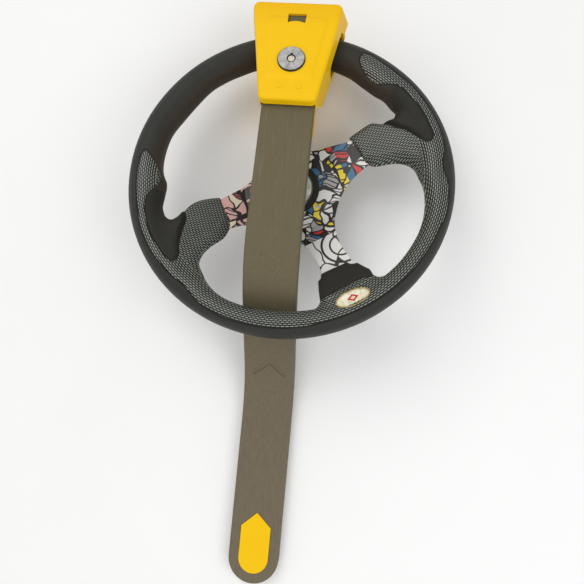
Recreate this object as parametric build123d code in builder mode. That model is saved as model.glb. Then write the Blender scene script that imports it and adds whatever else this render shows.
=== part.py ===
from build123d import *
from math import sin, cos, tan, radians, degrees, atan2, hypot, sqrt, pi
import os

os.makedirs("parts", exist_ok=True)

# A three-spoke sports steering wheel with a clamp-on lock bar on its rim.
# The assembly lies on a level surface: the straight lower part of the bar and
# the back of the lock head touch it, so the wheel axis leans TAU from +Z.
# Origin: centre of the wheel's mounting face. +Y runs up the bar to the head.

# ------------------------------------------------------------------ sizes, mm
TAU = 8.8                 # lean of the steering axis from +Z, degrees
DISH = 32.0               # mounting face to rim centre plane
LEAN = 5.0                # turn of the wheel's own drawing axes in its plane, degrees

RIM_R = 175.0             # outer radius of the rim
UP_A, UP_B = 19.0, 16.0   # upper grip section, radial and axial half sizes
LO_A, LO_B = 13.5, 15.0   # lower rim section
CORE_R, CORE_r = 161.0, 5.0
ARC_0, ARC_1 = 30.0, 208.0     # the thick grip runs between these angles
SP_R, SP_L, SP_B = 26.0, 205.5, 297.5   # directions of the three spokes
PLATE_T = 4.0
PLATE_HUB = 52.0          # flat part of the spoke plate, radius
PCD, BOLT_R, N_BOLT = 74.0, 2.75, 6
CUP_HOLE = 28.0

ARM_W = 56.5              # width of the moulded bar cover
ARM_T = 13.0              # its thickness
BAR_W, BAR_T = 44.0, 8.0  # steel bar inside
X_LOCK = -6.7             # lock's middle plane, beside the wheel axis
BAR_TOP = 178.0           # upper end of the bar
ARM_TOP = 172.0           # upper end of the moulded cover
BEND_1 = (-105.5, 16.5)   # corners of the bar's middle line, (along, up)
BEND_2 = (-215.0, -100.9)
TIP = -431.0              # lower end of the bar
ARM_Z0, ARM_SLOPE = 19.8, 0.0313
R_BEND = 110.0

HEAD_Z1 = 42.0            # front face of the head above the rim centre plane
HEAD_Z0 = 0.0             # parting plane of the cover and the jaw
HEAD_ZB = -45.0           # back face of the jaw
WALL = 3.0
PIN_Y, PIN_Z, PIN_R = 186.0, 4.0, 3.0   # jaw hinge
BARREL_Y = 115.0
PLUG_R = 7.0
BOLT_TRAVEL = 8.0

# ------------------------------------------------------------------ frames
ct, st = cos(radians(TAU)), sin(radians(TAU))
cl, sl = cos(radians(LEAN)), sin(radians(LEAN))
CENTRE = Vector(0, DISH * st, DISH * ct)
AX = Vector(0, st, ct)                         # steering axis
wp = Plane(origin=CENTRE, x_dir=Vector(cl, sl * ct, -sl * st), z_dir=AX)
lk = Plane(origin=CENTRE + Vector(X_LOCK, 0, 0), x_dir=(1, 0, 0), z_dir=AX)
# side plane of the lock: local x along the bar, local y up the steering axis
side = Plane(origin=lk.origin, x_dir=Vector(0, ct, -st), z_dir=(1, 0, 0))
# radial half plane of the wheel for revolved sections: local x out, local y up the axis
rad = Plane(origin=CENTRE, x_dir=wp.x_dir, z_dir=-wp.y_dir)
axis = Axis(CENTRE, AX)


def sector(a0, a1, r=260.0, z0=-60.0, z1=60.0):
    """a wedge of the wheel between two angles"""
    n = 24
    pts = [(0, 0)] + [(r * cos(radians(a0 + (a1 - a0) * i / n)), r * sin(radians(a0 + (a1 - a0) * i / n))) for i in range(n + 1)]
    with BuildPart(mode=Mode.PRIVATE) as w:
        with BuildSketch(wp.offset(z0)):
            with BuildLine():
                Polyline(*pts, close=True)
            make_face()
        extrude(amount=z1 - z0)
    return w.part


def plan(pts, z0, z1, plane=wp):
    """a prism over a plan outline"""
    with BuildPart(mode=Mode.PRIVATE) as w:
        with BuildSketch(plane.offset(z0)):
            with BuildLine():
                Polyline(*pts, close=True)
            make_face()
        extrude(amount=z1 - z0)
    return w.part


def smooth_plan(pts, z0, z1, plane=wp):
    """a prism over a closed smooth outline"""
    with BuildPart(mode=Mode.PRIVATE) as w:
        with BuildSketch(plane.offset(z0)):
            with BuildLine():
                Spline(*pts, periodic=True)
            make_face()
        extrude(amount=z1 - z0)
    return w.part


def ring(pts):
    """a solid of revolution about the steering axis from an (r, z) outline"""
    with BuildPart(mode=Mode.PRIVATE) as w:
        with BuildSketch(rad):
            with BuildLine():
                Polyline(*pts, close=True)
            make_face()
        revolve(axis=axis)
    return w.part


def disc(r, z0, z1, x=0.0, y=0.0, plane=wp, r_in=0.0):
    with BuildPart(mode=Mode.PRIVATE) as w:
        with BuildSketch(plane.offset(z0)):
            with Locations((x, y)):
                Circle(r)
                if r_in:
                    Circle(r_in, mode=Mode.SUBTRACT)
        extrude(amount=z1 - z0)
    return w.part


def block(x0, x1, y0, y1, z0, z1):
    """a box in the lock's own directions"""
    with BuildPart(mode=Mode.PRIVATE) as w:
        with BuildSketch(lk.offset(z0)):
            with Locations(((x0 + x1) / 2, (y0 + y1) / 2)):
                Rectangle(x1 - x0, y1 - y0)
        extrude(amount=z1 - z0)
    return w.part


def pol(r, a):
    return (r * cos(radians(a)), r * sin(radians(a)))


def save(builder, name):
    builder.part.label = name
    export_step(builder.part, "parts/" + name + ".step")


# ================================================================== the wheel
with BuildPart() as rim_core:                  # round steel ring inside the grip
    with BuildSketch(rad):
        with Locations((CORE_R, 0)):
            Circle(CORE_r)
    revolve(axis=axis)
save(rim_core, "rim_core")

UP_C, LO_C = RIM_R - UP_A, RIM_R - LO_A
with BuildPart() as thick:                     # full ring of the upper section
    with BuildSketch(rad):
        with Locations((UP_C, 0)):
            Ellipse(UP_A, UP_B)
    revolve(axis=axis)
with BuildPart() as thin:                      # full ring of the lower section
    with BuildSketch(rad):
        with Locations((LO_C, 0)):
            Ellipse(LO_A, LO_B)
    revolve(axis=axis)

# spoke plate: flat hub, coned spokes that rise to the core ring
CONE = (DISH + 0.0) / (CORE_R - 6 - PLATE_HUB) * 0.95


def spoke_corner(a, w, r):
    c, s = cos(radians(a)), sin(radians(a))
    return (r * c - w * s, r * s + w * c)


RE = 158.0
with BuildPart() as spoke_plate:
    with BuildSketch(wp.offset(-60)):
        with BuildLine():
            a = Line(spoke_corner(SP_R, -16, RE), spoke_corner(SP_R, 9, RE))
            b = Spline(a @ 1, (104, 61.5), (80, 56.5), (66.3, 52.8), (44.6, 49.5), (22.8, 46.5), (0, 48.5), (-22, 41.5), (-36, 28), (-45, 11),
                       (-62, -4), (-78, -15.5), (-100, -30), (-124, -50.5), spoke_corner(SP_L, -9, RE))
            c = Line(b @ 1, spoke_corner(SP_L, 16, RE))
            d = Spline(c @ 1, (-64, -48), (-46.8, -43.0), (-26, -47.5), (-6, -54), (13.4, -65.6), (24.5, -79), (34.2, -99),
                       spoke_corner(SP_B, -15, RE))
            e = Line(d @ 1, spoke_corner(SP_B, 15, RE))
            f = Spline(e @ 1, (64.4, -86.4), (52.4, -62), (49.2, -42), (51, -27), (57, -8), (69, 10), (84, 22), a @ 0)
        make_face()
    extrude(amount=70)
    with BuildSketch(rad):
        with BuildLine():
            zt = -DISH + PLATE_T
            Polyline((0, -DISH), (PLATE_HUB, -DISH), (CORE_R - 3, -DISH + CONE * (CORE_R - 3 - PLATE_HUB)),
                     (CORE_R - 3, zt + CONE * (CORE_R - 3 - PLATE_HUB)), (PLATE_HUB, zt), (0, zt), close=True)
        make_face()
    revolve(axis=axis, mode=Mode.INTERSECT)
    with BuildSketch(wp.offset(-DISH - 1)):
        Circle(CUP_HOLE)
        with PolarLocations(PCD / 2, N_BOLT, start_angle=25):
            Circle(BOLT_R)
    extrude(amount=PLATE_T + 2, mode=Mode.SUBTRACT)
    add(rim_core.part, mode=Mode.SUBTRACT)
save(spoke_plate, "spoke_plate")

# cover envelope over a spoke end: (r, z) outline around the coned plate
zc = lambda r: -DISH + PLATE_T / 2 + CONE * (r - PLATE_HUB)
side_env = ring([(78, zc(78) - 5.5), (78, zc(78) + 5), (84, zc(84) + 6.5), (100, zc(100) + 8), (118, zc(118) + 9.5), (134, zc(134) + 10.5),
                 (146, 10.5), (152, 12), (152, -12), (140, -13.5), (120, zc(120) - 9), (100, zc(100) - 7.5)])
low_env = ring([(108, zc(108) - 5.5), (108, zc(108) + 5), (113, zc(113) + 7.5), (126, zc(126) + 9), (138, 9.5),
                (148, 10.5), (148, -12), (140, -13.5), (124, zc(124) - 8.5)])

LEFT_COVER = [(-60.5, -55.5), (-76.5, -17.5), (-88, -18.5), (-98.5, -20.5), (-108, -25), (-114, -33), (-111.5, -44), (-112.5, -59.2), (-113.6, -75),
              (-112.5, -93.7), (-112, -103), (-101, -113), (-92, -116), (-88.5, -106), (-90.2, -98.5), (-88, -89.5), (-80.5, -80), (-67.3, -70)]
LEFT_INSERT = [(-114, -33), (-120.5, -42.5), (-126, -45.5), (-132.4, -42.5), (-137, -34), (-149.2, -35.6), (-147.7, -46.7), (-142.1, -66.1), (-132.7, -81.7),
               (-123.9, -92.4), (-116.8, -97.6), (-112.5, -93.7), (-113.6, -75), (-112.5, -59.2), (-111.5, -44)]
RIGHT_COVER = [(65.2, 49.5), (82.5, 13.5), (91, 10), (100, 11.5), (112, 14.1), (122.7, 13.1), (131.8, 7.7), (138.1, -1.1), (143, -10),
               (152, -8), (153.5, 20), (148.1, 33.5), (142.9, 35.1), (133.9, 44.3), (124.8, 52.1), (112.8, 58.5), (100.7, 64), (89, 66), (77, 58.5)]
RIGHT_INSERT = [(100.7, 64), (104.5, 68), (109.5, 69.5), (114.5, 72), (114.5, 80), (113, 89), (121, 96), (128.1, 87.9), (137.1, 75.3), (143.4, 62.9), (148.2, 50.7),
                (151.8, 41.5), (153.0, 30), (148.1, 33.5), (142.9, 35.1), (133.9, 44.3), (124.8, 52.1), (112.8, 58.5)]
LOW_COVER = [(34.5, -104.8), (32.0, -112.9), (32.0, -124), (34.5, -137), (49.7, -128.4), (62.9, -121.6), (74.1, -115.3), (88, -110), (84.5, -100.5),
             (72.1, -92.7), (62, -92)]

LEFT_TRIM = [(-155.2, 30), (-147, 17), (-139.5, 5), (-138.5, -5), (-143, -15), (-151.4, -24), (-154.1, -35.1), (-155.2, -50.0), (-152, -61.0), (-162.4, -56.3),
             (-161.2, -36.4), (-161.3, -7)]
RIGHT_TRIM = [(81.2, 141.2), (75.2, 134.1), (77.5, 124.2), (82.6, 114.5), (90.7, 105.8), (99.9, 102.9), (110.8, 101.7), (119.0, 98.4), (128.1, 89.5), (137.1, 77.3),
              (143.9, 64.5), (149.2, 51.7), (152.8, 42.5), (163.5, 45), (155.2, 60.0), (149.2, 73.4), (139.0, 89.2), (127.3, 103.6), (114.0, 116.7), (100.5, 129.2), (86.8, 139.8)]

spoke_volumes = [spoke_plate.part, rim_core.part]

left_spoke_cover_solid = (side_env & plan(LEFT_COVER, -50, 40))
right_spoke_cover_solid = (side_env & plan(RIGHT_COVER, -50, 40))
low_cover_solid = (low_env & plan(LOW_COVER, -50, 40))

with BuildPart() as left_spoke_cover:
    add(left_spoke_cover_solid)
    for s in spoke_volumes:
        add(s, mode=Mode.SUBTRACT)
save(left_spoke_cover, "left_spoke_cover")
with BuildPart() as right_spoke_cover:
    add(right_spoke_cover_solid)
    for s in spoke_volumes:
        add(s, mode=Mode.SUBTRACT)
save(right_spoke_cover, "right_spoke_cover")
with BuildPart() as bottom_spoke_cover:
    add(low_cover_solid)
    for s in spoke_volumes:
        add(s, mode=Mode.SUBTRACT)
save(bottom_spoke_cover, "bottom_spoke_cover")

# soft thumb inserts between the spoke covers and the rim
ins_env = ring([(108, -9), (112, 3), (124, 7), (140, 9.5), (156, 11), (156, -11), (140, -12), (120, -11)])
with BuildPart() as left_thumb_insert:
    add(ins_env & plan(LEFT_INSERT, -50, 40))
    for s in spoke_volumes + [left_spoke_cover_solid]:
        add(s, mode=Mode.SUBTRACT)
save(left_thumb_insert, "left_thumb_insert")
with BuildPart() as right_thumb_insert:
    add(ins_env & plan(RIGHT_INSERT, -50, 40))
    for s in spoke_volumes + [right_spoke_cover_solid]:
        add(s, mode=Mode.SUBTRACT)
save(right_thumb_insert, "right_thumb_insert")

# patterned trims let into the front of the rim
TRIM_Z = 4.0
upper_half = thick.part & sector(ARC_0, ARC_1)
lower_half = thin.part & sector(ARC_1, ARC_0 + 360)
outer_limit = 166.0
low_band = [pol(outer_limit, ARC_1 + (ARC_0 + 360 - 3 - ARC_1) * i / 40) for i in range(41)]
low_band += [pol(146.0, ARC_0 + 357 - (ARC_0 + 357 - ARC_1) * i / 40) for i in range(41)]
low_region = plan(low_band, TRIM_Z, 30)

BADGE_X, BADGE_Y, BADGE_A, BADGE_TURN = 66.4, -135.9, 18.2, 24.0
with BuildPart() as badge_bezel:
    with BuildSketch(wp.offset(8.0)):
        with Locations(Location((BADGE_X, BADGE_Y, 0), BADGE_TURN)):
            Ellipse(BADGE_A, 8.0)
            Ellipse(BADGE_A - 1.4, 6.7, mode=Mode.SUBTRACT)
    extrude(amount=7.2)
save(badge_bezel, "badge_bezel")
with BuildPart() as badge_plate:
    with BuildSketch(wp.offset(8.0)):
        with Locations(Location((BADGE_X, BADGE_Y, 0), BADGE_TURN)):
            Ellipse(BADGE_A - 1.4, 6.7)
    extrude(amount=6.6)
save(badge_plate, "badge_plate")
with BuildPart() as badge_pocket:
    with BuildSketch(wp.offset(8.0)):
        with Locations(Location((BADGE_X, BADGE_Y, 0), BADGE_TURN)):
            Ellipse(BADGE_A, 8.0)
    extrude(amount=20)

with BuildPart() as left_trim:
    add(upper_half + lower_half)
    add(plan(LEFT_TRIM, TRIM_Z, 30), mode=Mode.INTERSECT)
    for s in [left_spoke_cover_solid, rim_core.part, left_thumb_insert.part]:
        add(s, mode=Mode.SUBTRACT)
with BuildPart() as right_trim:
    add(upper_half + lower_half)
    add(plan(RIGHT_TRIM, TRIM_Z, 30), mode=Mode.INTERSECT)
    for s in [right_spoke_cover_solid, rim_core.part, right_thumb_insert.part]:
        add(s, mode=Mode.SUBTRACT)
with BuildPart() as lower_trim:
    add(lower_half)
    add(low_region, mode=Mode.INTERSECT)
    for s in [left_spoke_cover_solid, right_spoke_cover_solid, low_cover_solid, rim_core.part, left_thumb_insert.part, right_thumb_insert.part,
              left_trim.part, right_trim.part, badge_pocket.part, badge_bezel.part, badge_plate.part]:
        add(s, mode=Mode.SUBTRACT)
save(left_trim, "left_trim")
save(right_trim, "right_trim")
save(lower_trim, "lower_trim")

with BuildPart() as rim_grip:
    add(upper_half + lower_half)
    for s in [rim_core.part, spoke_plate.part, left_spoke_cover_solid, right_spoke_cover_solid, low_cover_solid, left_thumb_insert.part,
              right_thumb_insert.part, left_trim.part, right_trim.part, lower_trim.part, badge_bezel.part, badge_plate.part]:
        add(s, mode=Mode.SUBTRACT)
save(rim_grip, "rim_grip")

# horn button set in the hub
with BuildPart() as horn_cup:
    add(disc(27.95, -46, -28, plane=wp))
    add(disc(32.0, -28, -26.2, plane=wp))
    add(disc(25.6, -44, -20, plane=wp), mode=Mode.SUBTRACT)
save(horn_cup, "horn_cup")
with BuildPart() as horn_button:
    with BuildSketch(rad):
        with BuildLine():
            l1 = Polyline((0, -33.5), (4.0, -33.5), (4.0, -29.5), (24.0, -29.5), (24.0, -37), (25.3, -37), (25.3, -26.2))
            l2 = Spline(l1 @ 1, (13.5, -23.0), (0, -21.8), tangents=((-0.4, 0.2), (-1, 0)))
            Line(l2 @ 1, l1 @ 0)
        make_face()
    revolve(axis=axis)
save(horn_button, "horn_button")
with BuildPart() as horn_contact_ring:         # outer contact, under the button's skirt
    add(disc(25.55, -43.9, -39.8, plane=wp, r_in=20.0))
save(horn_contact_ring, "horn_contact_ring")
with BuildPart() as horn_contact:              # middle contact, under the button's boss
    add(disc(6.0, -43.9, -36.4, plane=wp))
save(horn_contact, "horn_contact")
with BuildPart() as horn_spring:
    with BuildLine() as coil:
        Helix(pitch=3.2, height=12.6, radius=10.0, center=CENTRE + AX * (-43.0), direction=AX)
    with BuildSketch(Plane(origin=coil.line @ 0, z_dir=coil.line % 0)):
        Circle(0.6)
    sweep(is_frenet=True)
save(horn_spring, "horn_spring")

# ================================================================== the lock bar
TIP_Z = BEND_2[1] - tan(radians(TAU)) * (BEND_2[0] - TIP)


def bar_z(y):
    """height of the bar's middle line along its upper straight part"""
    return ARM_Z0 + ARM_SLOPE * y


def strip(y_top, half):
    """outline of the bent bar in the side plane, its middle line offset by half each way"""
    mid = [(y_top, bar_z(y_top)), BEND_1, BEND_2, (TIP - 12, TIP_Z - 12 * tan(radians(TAU)))]
    dirs = []
    for p, q in zip(mid[:-1], mid[1:]):
        n = hypot(q[0] - p[0], q[1] - p[1])
        dirs.append(((q[0] - p[0]) / n, (q[1] - p[1]) / n))

    def off(d):
        out = []
        for i, p in enumerate(mid):
            if i == 0 or i == len(mid) - 1:
                u = dirs[0] if i == 0 else dirs[-1]
                out.append((p[0] - u[1] * d, p[1] + u[0] * d))
            else:
                u, v = dirs[i - 1], dirs[i]
                bx, by = -(u[1] + v[1]), (u[0] + v[0])
                n = hypot(bx, by)
                bx, by = bx / n, by / n
                k = d / (bx * -u[1] + by * u[0])
                out.append((p[0] + bx * k, p[1] + by * k))
        return out
    return off(half), off(-half)


def bar_solid(y_top, half_t, half_w, end_r):
    a, b = strip(y_top, half_t)
    turn = 1 if a[1][1] < b[1][1] else -1
    with BuildPart(mode=Mode.PRIVATE) as w:
        with BuildSketch(side.offset(-half_w)):
            with BuildLine():
                # the first corner turns down, the second turns back level
                la = FilletPolyline(*a, radius=[R_BEND - half_t * turn, R_BEND + half_t * turn])
                lb = FilletPolyline(*b, radius=[R_BEND + half_t * turn, R_BEND - half_t * turn])
                Line(la @ 0, lb @ 0)
                Line(la @ 1, lb @ 1)
            make_face()
        extrude(amount=2 * half_w)
        with BuildSketch(Plane.XY.offset(-120)):
            with Locations((X_LOCK, TAIL_C)):
                Circle(end_r)
            with Locations((X_LOCK, TAIL_C + 350)):
                Rectangle(2 * half_w + 2, 700)
        extrude(amount=220, mode=Mode.INTERSECT)
    return w.part


# centre of the rounded lower end, in the level part, along +Y
TAIL_C = TIP * ct + (TIP_Z + DISH) * st + ARM_W / 2
FLOOR = -BEND_2[0] * st + (BEND_2[1] + DISH) * ct - ARM_T / 2
TOP_FACE = FLOOR + ARM_T

bar_core = bar_solid(BAR_TOP, BAR_T / 2, BAR_W / 2, BAR_W / 2)
sleeve_core = bar_solid(ARM_TOP, ARM_T / 2, ARM_W / 2, ARM_W / 2)

arrow_pts = [(X_LOCK + 17, TAIL_C), (X_LOCK + 17, TAIL_C + 34), (X_LOCK, TAIL_C + 49.5), (X_LOCK - 17, TAIL_C + 34), (X_LOCK - 17, TAIL_C)]


def arrow(grow, z0, z1):
    with BuildPart(mode=Mode.PRIVATE) as w:
        with BuildSketch(Plane.XY.offset(z0)):
            with BuildLine():
                p = Polyline(*arrow_pts)
                ThreePointArc(p @ 1, (X_LOCK, TAIL_C - 17), p @ 0)
            make_face()
            if grow:
                offset(amount=grow)
        extrude(amount=z1 - z0)
    return w.part


SCREWS_COVER = [(-16, 80), (16, 80), (-16, 146), (16, 146)]
SCREWS_CASE = [(-14.5, 97.5), (14.5, 97.5), (-14.5, 127), (14.5, 127)]

with BuildPart() as cover_screws:
    for x, y in SCREWS_COVER:
        zb = bar_z(y) - ARM_T / 2
        add(disc(3.6, zb + 0.2, zb + 2.4, x, y, lk))
        add(disc(2.0, zb + 2.4, 36.0, x, y, lk))
with BuildPart() as case_screws:
    for x, y in SCREWS_CASE:
        zt2 = bar_z(y) + ARM_T / 2
        add(disc(3.0, zt2 - 2.2, zt2 - 0.2, x, y, lk))
        add(disc(1.6, 2.0, zt2 - 2.2, x, y, lk))
save(cover_screws, "cover_screws")
save(case_screws, "case_screws")
screw_room = [disc(3.8, bar_z(y) - ARM_T, bar_z(y) - ARM_T / 2 + 2.4, x, y, lk) for x, y in SCREWS_COVER]
screw_room += [disc(3.2, bar_z(y) + ARM_T / 2 - 2.2, bar_z(y) + ARM_T, x, y, lk) for x, y in SCREWS_CASE]

barrel_hole = disc(11.0, -20, 60, 0, BARREL_Y, lk)
with BuildPart() as arm_bar:
    add(bar_core)
    add(barrel_hole, mode=Mode.SUBTRACT)
    for s in [cover_screws.part, case_screws.part]:
        add(s, mode=Mode.SUBTRACT)
save(arm_bar, "arm_bar")

with BuildPart() as sleeve_skin:
    add(sleeve_core)
    top_edges = [e for e in sleeve_skin.edges() if (side.to_local_coords(e.center()).X < ARM_TOP - 1 and e.length > 8)]
    fillet(top_edges, 2.2)
arrow_pocket = arrow(0.0, TOP_FACE - 2.0, TOP_FACE + 5)
# shallow chevron moulded into the front of the cranked part
n_slope = Vector(0, ct, -st) * -0.731 + AX * 0.682
front_skin = sleeve_core - sleeve_core.moved(Location(n_slope * -0.7))
chevron = front_skin & plan([(0, -188.5), (17.5, -200.6), (17.5, -205.6), (0, -193.5), (-17.5, -205.6), (-17.5, -200.6)], -130, 40, lk)
# tab that stands up behind the head's window
window_tab = block(-12.5, 12.5, 156.5, 177.0, 27.0, 37.3)
with BuildPart() as arm_sleeve:
    add(sleeve_skin.part)
    add(window_tab)
    add(chevron, mode=Mode.SUBTRACT)
    add(bar_core, mode=Mode.SUBTRACT)
    add(barrel_hole, mode=Mode.SUBTRACT)
    for s in screw_room + [cover_screws.part, case_screws.part, arrow_pocket]:
        add(s, mode=Mode.SUBTRACT)
save(arm_sleeve, "arm_sleeve")
with BuildPart() as arrow_inlay:
    add(arrow(-0.35, TOP_FACE - 2.0, TOP_FACE + 0.5))
save(arrow_inlay, "arrow_inlay")

# ------------------------------------------------------------------ lock head


def hull(lo, hi):
    with BuildPart(mode=Mode.PRIVATE) as w:
        for y0, y1, w0, w1, z, r in (lo, hi):
            with BuildSketch(lk.offset(z)) as sk:
                with BuildLine():
                    Polyline((-w0, y0), (w0, y0), (w1, y1), (-w1, y1), close=True)
                make_face()
                fillet(sk.vertices(), r)
        loft(ruled=True)
    return w.part


def side_slot(y0, y1, z0, z1, r, half=90.0):
    """a round-cornered slot cut across the head for the rim to pass"""
    with BuildPart(mode=Mode.PRIVATE) as w:
        with BuildSketch(side.offset(-half)):
            with Locations(((y0 + y1) / 2, (z0 + z1) / 2)):
                RectangleRounded(y1 - y0, z1 - z0, r)
        extrude(amount=2 * half)
    return w.part


PANEL_H = 1.5
HEAD_W0, HEAD_W1 = 29.8, 57.0   # half widths at the parting plane, lower and upper end
Z_MAIN = HEAD_Z1 - PANEL_H
with BuildPart() as head_cover:
    add(hull((66, 200, HEAD_W0, HEAD_W1, HEAD_Z0, 7), (69, 188, 30.5, 49.5, Z_MAIN, 7)))
    rim_edges = head_cover.faces().sort_by(Axis(lk.origin, AX))[-1].edges()
    fillet(rim_edges, 4.0)
    add(hull((66 + WALL, 200 - WALL, HEAD_W0 - WALL, HEAD_W1 - WALL, HEAD_Z0 - 0.5, 4), (69 + WALL, 188 - WALL, 30.5 - WALL, 49.5 - WALL, Z_MAIN - WALL, 4)), mode=Mode.SUBTRACT)
    # raised panel on the front
    add(hull((91, 171, 25.5, 37.5, Z_MAIN - 0.4, 6), (97, 166, 21.5, 32.5, HEAD_Z1, 5)))
    for x in (-10, 10):
        with BuildSketch(lk.offset(Z_MAIN - 1.0)):
            with Locations((x + 0.5, 84)):
                Ellipse(3.2, 2.4)
        extrude(amount=1.7)
    # bosses for the screws
    for x, y in SCREWS_COVER:
        add(disc(4.5, bar_z(y) + ARM_T / 2, Z_MAIN - 1.0, x, y, lk))
    # rim arches, bar opening, hinge room, window and barrel hole
    add(side_slot(122, 174, -20, 19, 9), mode=Mode.SUBTRACT)
    add(block(-29.2, 29.2, 55, 80, -5, 31.0), mode=Mode.SUBTRACT)
    with BuildSketch(side.offset(-70)):           # the skirt is cut back towards the parting plane
        with BuildLine():
            Polyline((40, 25), (69.5, 25), (73, 21), (92, -6), (40, -6), close=True)
        make_face()
    extrude(amount=140, mode=Mode.SUBTRACT)
    add(block(-70, 70, 179, 215, -5, 6.0), mode=Mode.SUBTRACT)
    add(plan([(-9.2, 173.2), (-8.9, 160.6), (-5, 162.2), (0, 162.8), (5, 162.2), (10.2, 160.6), (10.8, 173.2)], 30, 50, lk), mode=Mode.SUBTRACT)
    add(disc(11.3, 30, 50, 0, BARREL_Y, lk), mode=Mode.SUBTRACT)
    for t in [cover_screws.part, sleeve_core, window_tab]:
        add(t, mode=Mode.SUBTRACT)
save(head_cover, "head_cover")

with BuildPart() as hinge_bracket:             # steel ear welded to the bar's end
    add(block(-13, 13, BAR_TOP, BAR_TOP + 6, PIN_Z, bar_z(BAR_TOP) + 3.5))
    with BuildSketch(side.offset(-13)):
        with Locations((PIN_Y, PIN_Z)):
            Circle(6.5)
    extrude(amount=26)
    with BuildSketch(side.offset(-14)):
        with Locations((PIN_Y, PIN_Z)):
            Circle(PIN_R)
    extrude(amount=28, mode=Mode.SUBTRACT)
    add(arm_bar.part, mode=Mode.SUBTRACT)
save(hinge_bracket, "hinge_bracket")
with BuildPart() as hinge_pin:
    with BuildSketch(side.offset(-26)):
        with Locations((PIN_Y, PIN_Z)):
            Circle(PIN_R)
    extrude(amount=52)
save(hinge_pin, "hinge_pin")
with BuildPart() as hinge_clips:               # retaining washers on the pin's ends
    for x0 in (-25.6, 24.4):
        with BuildSketch(side.offset(x0)):
            with Locations((PIN_Y, PIN_Z)):
                Circle(5.0)
                Circle(PIN_R, mode=Mode.SUBTRACT)
        extrude(amount=1.2)
save(hinge_clips, "hinge_clips")

with BuildPart() as lock_barrel:
    add(disc(11.0, -2.4, HEAD_Z1, 0, BARREL_Y, lk))
    add(disc(13.9, HEAD_Z1 + 0.1, HEAD_Z1 + 2.2, 0, BARREL_Y, lk))
    add(disc(11.0, HEAD_Z1, HEAD_Z1 + 0.1, 0, BARREL_Y, lk))
    add(disc(PLUG_R + 0.05, -5, 36, 0, BARREL_Y, lk), mode=Mode.SUBTRACT)
    add(disc(4.8, 30, 60, 0, BARREL_Y, lk), mode=Mode.SUBTRACT)
    add(block(-1.0, 1.0, BARREL_Y + 3, BARREL_Y + 6.4, 36, 60), mode=Mode.SUBTRACT)
save(lock_barrel, "lock_barrel")
with BuildPart() as barrel_gasket:
    add(disc(14.8, HEAD_Z1, HEAD_Z1 + 1.2, 0, BARREL_Y, lk))
    add(disc(13.9, HEAD_Z1 - 1, HEAD_Z1 + 3, 0, BARREL_Y, lk), mode=Mode.SUBTRACT)
save(barrel_gasket, "barrel_gasket")
with BuildPart() as key_core:
    add(disc(PLUG_R, -2.6, 35.7, 0, BARREL_Y, lk))
    add(disc(3.5, 35.7, HEAD_Z1 + 1.6, 0, BARREL_Y, lk))
save(key_core, "key_core")
with BuildPart() as core_cam:
    add(disc(8.6, -4.2, -2.6, 0, BARREL_Y, lk))
    add(disc(1.5, -9.0, -4.2, 4.0, BARREL_Y + 4.0, lk))
save(core_cam, "core_cam")
with BuildPart() as lock_bolt:
    add(block(-9.5, 9.5, 111.5, 127.0, -9.1, -4.9))
    add(block(-4.0, 4.0, 104.5, 111.5, -9.1, -4.9))
    add(block(2.1, 7.55, BARREL_Y + 4 - 1.85, BARREL_Y + 4 + 1.85, -10, -4), mode=Mode.SUBTRACT)
save(lock_bolt, "lock_bolt")
with BuildPart() as lock_case:
    add(block(-18, 18, 91, 131.5, -9.4, 16.4))
    add(disc(11.0, -4.6, 20, 0, BARREL_Y, lk), mode=Mode.SUBTRACT)
    add(block(-9.8, 9.8, 103.1, 128.0, -9.5, -4.6), mode=Mode.SUBTRACT)
    add(block(-4.3, 4.3, 93.5, 104, -9.5, -4.6), mode=Mode.SUBTRACT)
    add(block(-7.5, 7.5, 97.3, 104.2, -9.5, -1.8), mode=Mode.SUBTRACT)
    for s in [case_screws.part, arm_sleeve.part, lock_barrel.part]:
        add(s, mode=Mode.SUBTRACT)
save(lock_case, "lock_case")
with BuildPart() as case_plate:
    add(block(-18, 18, 91, 131.5, -12.4, -9.4))
    add(block(-7.5, 7.5, 97.3, 104.6, -13, -9), mode=Mode.SUBTRACT)
save(case_plate, "case_plate")

with BuildPart() as bar_pad:                   # rubber under the bar where it crosses the rim
    add(block(-24, 24, 139, 170.5, 12.0, 22.0))
    with BuildSketch(side.offset(-30)):
        with BuildLine():
            Polyline((130, bar_z(130) - ARM_T / 2), (180, bar_z(180) - ARM_T / 2), (180, 40), (130, 40), close=True)
        make_face()
    extrude(amount=60, mode=Mode.SUBTRACT)
    with BuildSketch(rad):
        with Locations((UP_C, 0)):
            Ellipse(UP_A + 0.2, UP_B + 0.2)
    revolve(axis=axis, mode=Mode.SUBTRACT)
    for x, y in SCREWS_COVER:
        add(disc(4.2, 0, 30, x, y, lk), mode=Mode.SUBTRACT)
    add(arm_sleeve.part, mode=Mode.SUBTRACT)
save(bar_pad, "bar_pad")

# hinged jaw behind the rim
with BuildPart() as jaw_plate:
    add(block(-20, 20, 76, 178, -36, -30))
    for x0 in (-24.0, 13.4):
        add(block(x0, x0 + 10.6, 178.4, 184.5, -36, PIN_Z))
        add(block(x0, x0 + 10.6, 170, 184.5, -36, -30))
        with BuildSketch(side.offset(x0)):
            with Locations((PIN_Y, PIN_Z)):
                Circle(6.5)
        extrude(amount=10.6)
    add(block(-7, 7, 98, 102, -30.0, -2.8))
    add(block(-4.6, 4.6, 97, 103, -9.8, -4.2), mode=Mode.SUBTRACT)
    with BuildSketch(side.offset(-30)):
        with Locations((PIN_Y, PIN_Z)):
            Circle(PIN_R + 0.05)
    extrude(amount=60, mode=Mode.SUBTRACT)
    for x, y in ((-13, 86), (13, 86), (-13, 164), (13, 164)):
        add(disc(2.0, -40, -29, x, y, lk), mode=Mode.SUBTRACT)
save(jaw_plate, "jaw_plate")
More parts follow.
